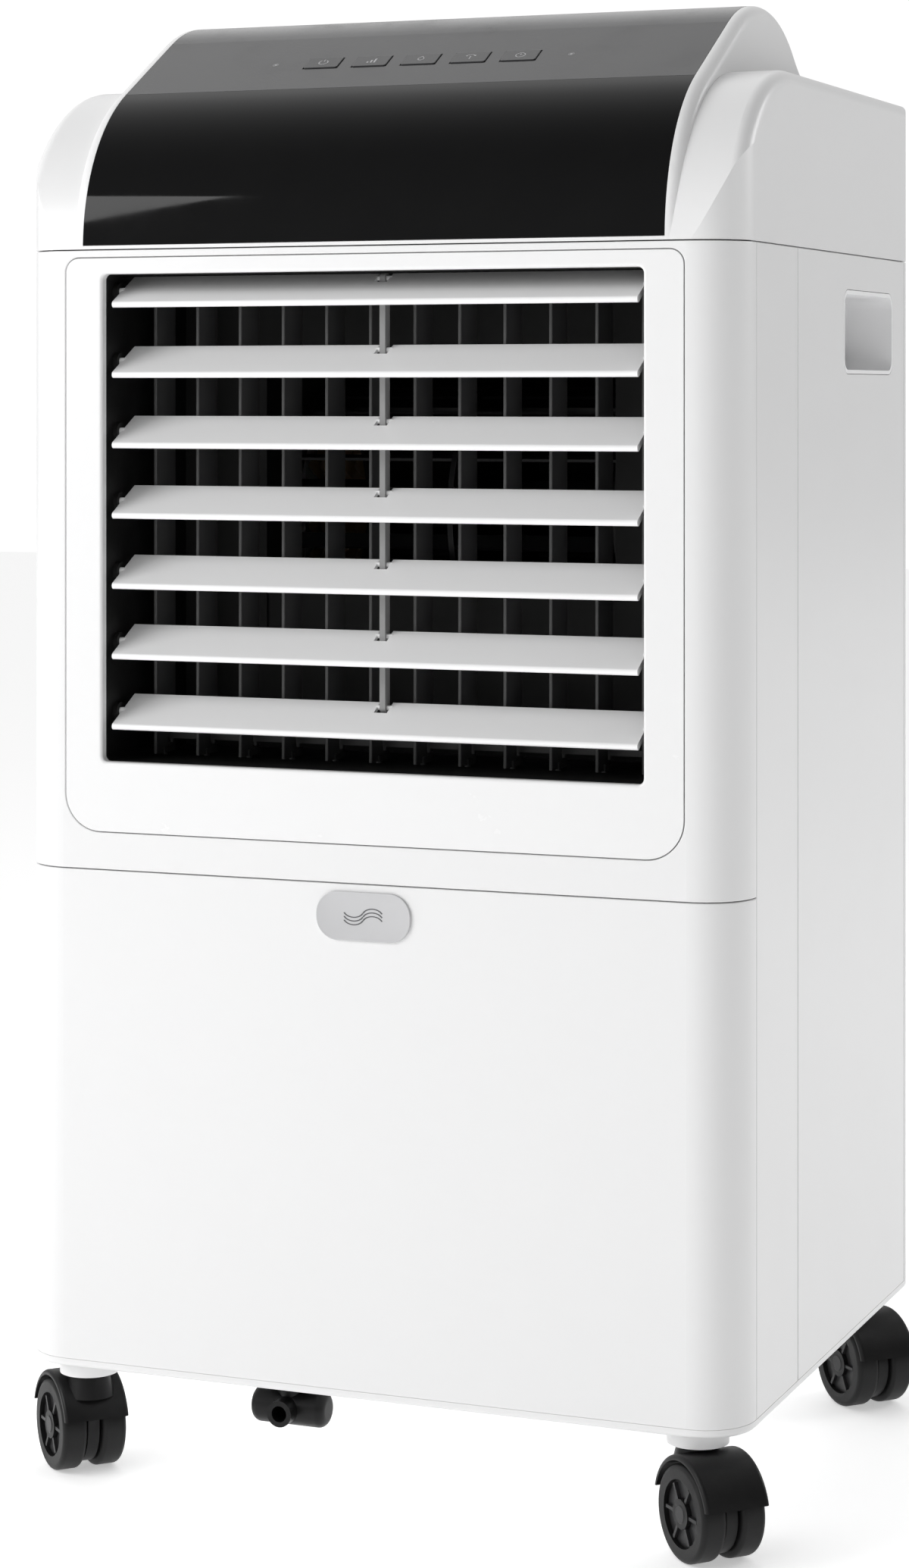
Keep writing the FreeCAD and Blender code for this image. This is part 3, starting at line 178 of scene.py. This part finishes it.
def plastics():
    shell = {"color": white, "roughness": 0.30, "grain": 1500.0, "grainDepth": 0.000004,
             "uneven": 0.04, "dust": 0.015, "dirt": (0.62, 0.61, 0.58), "swayDepth": 0.00005,
             "fixed": {"IOR": 1.5}}
    finishes["white_shell"] = moulded("whiteShell", shell)
    rear = dict(shell, roughness=0.42, grain=900.0, grainDepth=0.00001, dust=0.08, uneven=0.08)
    finishes["rear_shell"] = moulded("rearShell", rear)
    louvre = dict(shell, color=(0.86, 0.86, 0.862), roughness=0.26)
    finishes["louvre_white"] = moulded("louvreWhite", louvre)
    # slats whiter than the louvre frame: painted light on the slat faces
    finishes["slat_white"] = moulded("slatPaintedLight", dict(louvre, color=(0.92, 0.92, 0.922)))
    finishes["link_grey"] = moulded("linkGrey", dict(rear, color=(0.28, 0.28, 0.28)))
    # vanes near-black: painted shade for the dark gaps between the slats
    finishes["vane_white"] = moulded("vanePaintedShade", dict(rear, color=(0.06, 0.06, 0.06), dust=0.1))
    # handle cups near-white: colour raised as painted light to offset the shade inside the recess
    finishes["cup_grey"] = moulded("cupPaintedLight", dict(rear, color=(0.86, 0.86, 0.865), roughness=0.5))
    finishes["grille_white"] = moulded("grilleWhite", dict(rear, color=(0.78, 0.78, 0.78), dust=0.15))
    finishes["tray_white"] = moulded("trayWhite", dict(rear, color=(0.74, 0.74, 0.74)))
    tank = dict(rear, color=(0.72, 0.76, 0.8), roughness=0.38)
    finishes["tank_plastic"] = moulded("tankPlastic", tank)
    black = {"color": (0.004, 0.004, 0.0044), "roughness": 0.45, "grain": 1100.0, "grainDepth": 0.00004,
             "uneven": 0.16, "dust": 0.03, "dirt": (0.16, 0.155, 0.145),
             "fixed": {"IOR": 1.5, "Specular IOR Level": 0.25}}
    for slot in ("caster_black", "gland_black", "drain_black", "pump_black", "fan_black"):
        finishes[slot] = moulded(slot.replace("_b", "B"), black)
    finishes["wheel_black"] = moulded("wheelBlack", dict(black, color=(0.006, 0.006, 0.0063), roughness=0.52))
    finishes["scroll_grey"] = moulded("scrollGrey", dict(black, color=(0.012, 0.012, 0.012), roughness=0.6))
    finishes["key_black"] = moulded("keyGrey", dict(black, color=(0.03, 0.03, 0.032), roughness=0.2,
                                                    dust=0.04, grain=1800.0))
    finishes["strip_grey"] = moulded("stripGrey", dict(black, color=(0.045, 0.045, 0.047), roughness=0.2,
                                                       dust=0.04, grain=1800.0))
    finishes["lens_black"] = moulded("lensBlack", dict(black, color=(0.002, 0.002, 0.0022), roughness=0.06,
                                                       uneven=0.04, dust=0.02, grainDepth=0.000001,
                                                       fixed={"IOR": 1.5, "Specular IOR Level": 0.2},
                                                       swayDepth=0.00008))
    finishes["hose_silicone"] = moulded("hoseSilicone", dict(rear, color=(0.6, 0.62, 0.6)))
    finishes["board_green"] = moulded("boardGreen", dict(black, color=(0.01, 0.09, 0.03)))
    finishes["swing_case"] = moulded("swingCase", dict(black, color=(0.3, 0.3, 0.3)))
    finishes["motor_steel"] = moulded("motorSteel", dict(black, color=(0.3, 0.3, 0.3)))
    finishes["badge_silver"] = moulded("badgeSilver", dict(rear, color=(0.55, 0.55, 0.56)))
    finishes["screw_steel"] = moulded("screwSteel", dict(rear, color=(0.4, 0.4, 0.41)))
    finishes["pad_paper"] = moulded("padPaper", dict(rear, color=(0.35, 0.22, 0.1)))
    # duct interior near-black: its own dark plastic plus painted shade deep in the recess
    finishes["duct_black"] = moulded("ductBlackPaintedShade", dict(black, color=(0.008, 0.008, 0.008), roughness=0.55))
    finishes["sign_print"] = moulded("signPrint", dict(rear, color=(0.42, 0.42, 0.43)))
    finishes["net_grey"] = moulded("netGrey", dict(black, color=(0.03, 0.03, 0.032)))
    finishes["badge_dark"] = moulded("badgeDark", dict(black, color=(0.12, 0.12, 0.125)))
    finishes["hub_grey"] = moulded("hubGrey", dict(black, color=(0.02, 0.02, 0.021)))
    finishes["window_smoke"] = moulded("windowSmoke", dict(black, color=(0.25, 0.3, 0.34), roughness=0.12))


plastics()
for part in frame["record"]["subparts"]:
    obj = nodes[part["node"]]
    obj.data.materials.clear()
    obj.data.materials.append(finishes[part["material_slot"]].material)
print("finishes made:", len(finishes))


def showPiece(name, shape, body, slot, smoothAngle=30.0):
    bmesh.ops.recalc_face_normals(shape, faces=shape.faces)
    mesh = bpy.data.meshes.new(name)
    shape.to_mesh(mesh)
    shape.free()
    mesh.materials.append(finishes[slot].material)
    for face in mesh.polygons:
        face.use_smooth = True
    mesh.set_sharp_from_angle(angle=math.radians(smoothAngle))
    obj = bpy.data.objects.new(name, mesh)
    bpy.context.scene.collection.objects.link(obj)
    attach(obj, body)
    return obj


def addBlock(shape, low, high):
    made = bmesh.ops.create_cube(shape, size=1.0)["verts"]
    size = Vector(high) - Vector(low)
    bmesh.ops.scale(shape, vec=size, verts=made)
    bmesh.ops.translate(shape, vec=(Vector(low) + Vector(high)) / 2, verts=made)
    return made


def addArc(shape, inner, outer, start, turn, steps):  # a flat ring or part of one, in the XY plane
    first = [shape.verts.new((inner, 0, 0)), shape.verts.new((outer, 0, 0))]
    edge = shape.edges.new(first)
    bmesh.ops.rotate(shape, verts=first, matrix=Matrix.Rotation(math.radians(start), 3, "Z"))
    full = abs(turn) > 359.9
    bmesh.ops.spin(shape, geom=first + [edge], axis=(0, 0, 1), cent=(0, 0, 0),
                   angle=math.radians(turn), steps=steps, use_merge=full)


def addBar(shape, start, end, width):  # a flat bar in the XY plane
    start, end = Vector((*start, 0)), Vector((*end, 0))
    run = end - start
    made = bmesh.ops.create_grid(shape, x_segments=1, y_segments=1, size=0.5)["verts"]
    bmesh.ops.scale(shape, vec=(run.length, width, 1), verts=made)
    bmesh.ops.rotate(shape, verts=made, matrix=Matrix.Rotation(math.atan2(run.y, run.x), 3, "Z"))
    bmesh.ops.translate(shape, vec=(start + end) / 2, verts=made)


def addDot(shape, at, radius, corners=20, turn=0.0):
    made = bmesh.ops.create_circle(shape, cap_ends=True, segments=corners, radius=radius)["verts"]
    bmesh.ops.rotate(shape, verts=made, matrix=Matrix.Rotation(math.radians(turn), 3, "Z"))
    bmesh.ops.translate(shape, vec=(*at, 0), verts=made)


def powerSign(shape):
    addArc(shape, 2.1, 2.7, 120, 300, 28)
    addBar(shape, (0, 0.9), (0, 3.3), 0.6)


def speedSign(shape):
    for index in range(3):
        addBar(shape, (1.9 * index - 1.9, -2.4), (1.9 * index - 1.9, -0.9 + 1.6 * index), 1.0)


def coolSign(shape):
    addArc(shape, 1.3, 1.8, 140, 260, 22)
    addBar(shape, (-1.25, 0.95), (0.1, 3.1), 0.5)
    addBar(shape, (1.25, 0.95), (-0.1, 3.1), 0.5)


def swingSign(shape):
    addArc(shape, 2.4, 2.9, 35, 110, 16)
    addBar(shape, (0, -2.6), (0, 1.0), 0.5)
    addDot(shape, (-2.2, 1.3), 0.9, 3, 200)
    addDot(shape, (2.2, 1.3), 0.9, 3, -20)


def timerSign(shape):
    addArc(shape, 2.2, 2.7, 0, 360, 32)
    addBar(shape, (0, -0.2), (0, 1.7), 0.45)
    addBar(shape, (-0.2, 0), (1.3, 0), 0.45)


def lampSign(shape):
    addDot(shape, (0, 0), 0.8)
    addArc(shape, 1.3, 1.55, 0, 360, 24)


signs = {"facing": (0, -0.5, math.sqrt(0.75)), "tilt": 30.0, "proud": 0.00006, "unit": 0.001,
         "level": 0.00002, "lampSink": 0.0005,
         "keys": (powerSign, speedSign, coolSign, swingSign, timerSign), "lampAside": 0.027}


def highestSpot(node):
    up = Vector(signs["facing"])
    spots = [v.co for v in nodes[node].data.vertices]
    top = max(spot.dot(up) for spot in spots)
    level = [spot for spot in spots if spot.dot(up) > top - signs["level"]]
    return sum(level, Vector()) / len(level)


def makeSigns():
    up = Vector(signs["facing"])
    spots = []
    for index, draw in enumerate(signs["keys"]):
        name = "key_%d" % (index + 1)
        spots.append((highestSpot(name), draw, "keySign%d" % (index + 1), name))
    step = Vector((signs["lampAside"], 0, 0))
    first = spots[0][0] - up * signs["lampSink"]
    last = spots[-1][0] - up * signs["lampSink"]
    spots.append((first - step, lampSign, "lampSignLeft", "cabinet"))
    spots.append((last + step, lampSign, "lampSignRight", "cabinet"))
    for at, draw, name, body in spots:
        shape = bmesh.new()
        draw(shape)
        bmesh.ops.scale(shape, vec=(signs["unit"],) * 3, verts=shape.verts)
        lean = Matrix.Rotation(math.radians(signs["tilt"]), 3, "X")
        bmesh.ops.rotate(shape, verts=shape.verts, matrix=lean)
        bmesh.ops.translate(shape, vec=at + up * signs["proud"], verts=shape.verts)
        showPiece(name, shape, body, "sign_print")
    print("signs made:", len(spots))


padSheets = {"pitch": 0.0072, "swing": 0.0032, "wave": 0.0175, "steps": 11, "slant": 0.6, "paper": 0.0004}


def makePad():
    low, high = (Vector(c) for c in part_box("cooling_pad"))
    size = high - low
    shape = bmesh.new()
    edge = padSheets["swing"] + padSheets["paper"]
    count = int((size.x - 2 * edge) / padSheets["pitch"]) + 1
    gap = (size.x - 2 * edge) / (count - 1)
    rows = int(size.z / padSheets["wave"] * padSheets["steps"])
    for index in range(count):
        sheet = bmesh.ops.create_grid(shape, x_segments=3, y_segments=rows, size=0.5)["verts"]
        slant = padSheets["slant"] * (1 if index % 2 else -1)
        for vert in sheet:
            y = size.y * (vert.co.x + 0.5)
            z = size.z * (vert.co.y + 0.5)
            turn = 2 * math.pi * (z + slant * y) / padSheets["wave"]
            x = edge + gap * index + padSheets["swing"] * math.sin(turn)
            vert.co = low + Vector((x, y, z))
    pad = showPiece("coolingPadSheets", shape, "cabinet", "pad_paper", 60)
    wall = pad.modifiers.new("paper", "SOLIDIFY")
    wall.thickness = padSheets["paper"]
    wall.offset = 0
    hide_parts("cooling_pad")
    print("pad sheets made:", count)


filterNet = {"pitch": 0.0032, "wire": 0.00045, "rim": 0.0085, "behind": 0.0065}


def makeFilterNet():
    low, high = (Vector(c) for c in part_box("filter_grille"))
    rim = Vector((filterNet["rim"], 0, filterNet["rim"]))
    low, high = low + rim, high - rim
    y = high.y - filterNet["behind"]
    half = filterNet["wire"] / 2
    shape = bmesh.new()
    for axis in (0, 2):
        count = int((high[axis] - low[axis]) / filterNet["pitch"])
        for index in range(1, count):
            at = low[axis] + (high[axis] - low[axis]) * index / count
            a, b = low.copy(), high.copy()
            a.y, b.y = y - half, y + half
            a[axis], b[axis] = at - half, at + half
            addBlock(shape, a, b)
    showPiece("filterNet", shape, "filter", "net_grey")
    print("filter net made")


badge = {"width": 0.050, "height": 0.024, "thick": 0.0014, "below": 0.016, "round": 0.0112,
         "edge": 0.0004, "rim": 0.0012, "sink": 0.0003, "waveDepth": 0.00028, "waves": 3,
         "waveInner": 4.4, "waveOuter": 5.2, "waveTurn": 140, "waveAside": 4.6, "waveDrop": 1.615,
         "wavePitch": 2.6, "waveScale": (0.0011, 0.0007, 0.001)}


def makeBadge():
    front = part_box("lower_panel")[0][1]
    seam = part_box("front_casing")[0][2]
    middle = Vector((0, front - badge["thick"] / 2, seam - badge["below"]))
    half = Vector((badge["width"], badge["thick"], badge["height"])) / 2
    shape = bmesh.new()
    addBlock(shape, middle - half, middle + half)
    upright = [e for e in shape.edges if abs((e.verts[0].co - e.verts[1].co).y) > 0.5 * badge["thick"]]
    bmesh.ops.bevel(shape, geom=upright, offset=badge["round"], affect="EDGES", segments=10,
                    profile=0.5, material=-1)
    face = min(shape.faces, key=lambda f: f.calc_center_median().y)
    bmesh.ops.bevel(shape, geom=list(face.edges), offset=badge["edge"], affect="EDGES", segments=2,
                    profile=0.5, material=-1)
    face = min(shape.faces, key=lambda f: f.calc_center_median().y)
    bmesh.ops.inset_region(shape, faces=[face], thickness=badge["rim"], depth=-badge["sink"])
    showPiece("badgePlate", shape, "cabinet", "badge_silver", 25)
    mark = bmesh.new()
    for index in range(badge["waves"]):
        for start, side in ((20, 1), (200, -1)):
            addArc(mark, badge["waveInner"], badge["waveOuter"], start, badge["waveTurn"], 16)
            fresh = [vert for vert in mark.verts if not vert.tag]
            up = badge["wavePitch"] * (index - 1) - badge["waveDrop"] * side
            bmesh.ops.translate(mark, vec=(badge["waveAside"] * side, up, 0), verts=fresh)
            for vert in fresh:
                vert.tag = True
    bmesh.ops.scale(mark, vec=badge["waveScale"], verts=mark.verts)
    bmesh.ops.rotate(mark, verts=mark.verts, matrix=Matrix.Rotation(math.radians(90), 3, "X"))
    face = middle - Vector((0, badge["thick"] / 2 - badge["waveDepth"], 0))
    bmesh.ops.translate(mark, vec=face, verts=mark.verts)
    showPiece("badgeWaves", mark, "cabinet", "badge_dark")
    print("badge made")


hub = {"radius": 0.0152, "bore": 0.0073, "web": 0.0009, "ribs": 6, "sink": 0.0024, "rib": 0.0016,
       "ribHigh": 0.0019, "ribIn": 0.0003, "ribOut": 0.0004, "cap": 0.0052, "capTaper": 0.75,
       "capThick": 0.0008, "capLift": 0.0024}


def makeHubs():
    for joint in frame["joints"]:
        if not joint["name"].endswith("_roll"):
            continue
        body = joint["child"]
        axle = Vector(joint["axis"]).normalized()
        centre = Vector(joint["pos_m"])
        spots = [(v.co - centre).dot(axle) for v in nodes["caster_" + body].data.vertices]
        reach = max(spots)
        for side in (1, -1):
            shape = bmesh.new()
            addArc(shape, hub["bore"], hub["radius"], 0, 360, 40)
            bmesh.ops.solidify(shape, geom=list(shape.faces), thickness=hub["web"])
            for index in range(hub["ribs"]):
                rib = addBlock(shape, (hub["bore"] - hub["ribIn"], -hub["rib"] / 2, 0),
                               (hub["radius"] - hub["ribOut"], hub["rib"] / 2, hub["ribHigh"]))
                turn = Matrix.Rotation(2 * math.pi * index / hub["ribs"], 3, "Z")
                bmesh.ops.rotate(shape, verts=rib, matrix=turn)
            cap = bmesh.ops.create_cone(shape, cap_ends=True, segments=28, radius1=hub["cap"],
                                        radius2=hub["cap"] * hub["capTaper"],
                                        depth=hub["capThick"])["verts"]
            bmesh.ops.translate(shape, vec=(0, 0, hub["capLift"]), verts=cap)
            turn = (axle * side).to_track_quat("Z", "Y").to_matrix()
            bmesh.ops.rotate(shape, verts=shape.verts, matrix=turn)
            seat = centre + axle * side * (reach - hub["sink"])
            bmesh.ops.translate(shape, vec=seat, verts=shape.verts)
            showPiece("hub_%s_%s" % (body, "out" if side > 0 else "in"), shape, body, "hub_grey")
    print("hubs made")


gauge = {"width": 0.012, "height": 0.088, "aside": 0.030, "drop": 0.022, "thick": 0.0006,
         "sunk": 0.0002, "round": 0.46, "marks": 7, "firstMark": 0.12, "markSpan": 0.76,
         "longMark": 0.007, "shortMark": 0.0045, "markAside": 0.0015, "markHalf": 0.0004,
         "markProud": 0.00015}


def makeGauge():
    high = Vector(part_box("water_tank")[1])
    x = high.x - gauge["aside"]
    top = high.z - gauge["drop"]
    shape = bmesh.new()
    addBlock(shape, (x - gauge["width"] / 2, high.y - gauge["sunk"], top - gauge["height"]),
             (x + gauge["width"] / 2, high.y + gauge["thick"], top))
    upright = [e for e in shape.edges if abs((e.verts[0].co - e.verts[1].co).y) > 0.5 * gauge["thick"]]
    bmesh.ops.bevel(shape, geom=upright, offset=gauge["width"] * gauge["round"], affect="EDGES",
                    segments=8, profile=0.5, material=-1)
    showPiece("levelWindow", shape, "tank", "window_smoke", 25)
    marks = bmesh.new()
    for index in range(gauge["marks"]):
        share = gauge["firstMark"] + gauge["markSpan"] * index / (gauge["marks"] - 1)
        z = top - gauge["height"] * share
        length = gauge["longMark"] if index % 3 == 0 else gauge["shortMark"]
        start = x + gauge["width"] / 2 + gauge["markAside"]
        addBlock(marks, (start, high.y - gauge["sunk"], z - gauge["markHalf"]),
                 (start + length, high.y + gauge["markProud"], z + gauge["markHalf"]))
    showPiece("levelMarks", marks, "tank", "badge_dark")
    print("gauge made")


makeSigns()
makePad()
makeFilterNet()
makeBadge()
makeHubs()
makeGauge()

studio = {"lens": 80.15, "shiftX": -0.0025, "shiftY": -0.249, "at": (0.672, -1.726, 0.551), "yaw": 21.7,
          "base": 0.05, "backdrop": 1.05, "floorGlow": 0.42, "floorHalf": 9.0, "aimHeight": 0.4,
          "lamps": (("keyLight", (-1.35, -1.3, 1.15), 1.0, 17.0), ("sideLight", (1.9, 1.5, 1.4), 1.0, 14.0),
                   ("frontLight", (-0.5, -2.4, 1.9), 1.6, 10.0)),
          "lobes": (((-0.55, -0.83, 0.05), 1.0, 0.45), ((0.92, 0.38, 0.0), 1.0, 0.22),
                    ((-0.35, 0.62, 0.7), 4.0, 1.3))}


def makeWorld():
    world = bpy.data.worlds.new("studio")
    world.use_nodes = True
    tree = world.node_tree
    facing = tree.nodes.new("ShaderNodeTexCoord").outputs["Generated"]
    total = None
    for aim, power, strength in studio["lobes"]:  # soft bright areas of the room
        dot = tree.nodes.new("ShaderNodeVectorMath")
        dot.operation = "DOT_PRODUCT"
        tree.links.new(facing, dot.inputs[0])
        dot.inputs[1].default_value = Vector(aim).normalized()
        lobe = Wire(tree, dot.outputs["Value"]).most(0.0) ** power * strength
        total = lobe + (total if total else studio["base"])
    seen = Wire(tree, tree.nodes.new("ShaderNodeLightPath").outputs["Is Camera Ray"])
    light = total * (1.0 - seen) + seen * studio["backdrop"]
    plug(tree, tree.nodes["Background"].inputs["Strength"], light)
    plug(tree, tree.nodes["Background"].inputs["Color"], (1, 1, 1, 1))
    bpy.context.scene.world = world


def makeFloor():
    mesh = bpy.data.meshes.new("floor")
    shape = bmesh.new()
    bmesh.ops.create_grid(shape, x_segments=1, y_segments=1, size=studio["floorHalf"])
    shape.to_mesh(mesh)
    shape.free()
    floor = bpy.data.objects.new("floor", mesh)
    bpy.context.scene.collection.objects.link(floor)
    paper = Finish("floorPaper", {"color": (0.92, 0.92, 0.92), "roughness": 0.7})
    paper.set("Emission Color", (1, 1, 1, 1))
    paper.set("Emission Strength", studio["floorGlow"])
    floor.data.materials.append(paper.material)


def makeStudio():
    makeWorld()
    makeFloor()
    camera = bpy.data.objects.new("camera", bpy.data.cameras.new("camera"))
    camera.data.lens = studio["lens"]
    camera.data.sensor_width = 36.0
    camera.data.shift_x = studio["shiftX"]
    camera.data.shift_y = studio["shiftY"]
    camera.location = studio["at"]
    camera.rotation_euler = (math.radians(90), 0, math.radians(studio["yaw"]))
    bpy.context.scene.collection.objects.link(camera)
    bpy.context.scene.camera = camera
    for name, at, size, power in studio["lamps"]:
        lamp = bpy.data.lights.new(name, "AREA")
        lamp.energy = power
        lamp.size = size
        light = bpy.data.objects.new(name, lamp)
        light.location = at
        light.visible_glossy = name != "frontLight"  # kept out of the lens
        aim = Vector((0, 0, studio["aimHeight"])) - light.location
        light.rotation_euler = aim.to_track_quat("-Z", "Y").to_euler()
        bpy.context.scene.collection.objects.link(light)
    bpy.context.scene.view_settings.view_transform = "Standard"
    print("studio ready")


makeStudio()
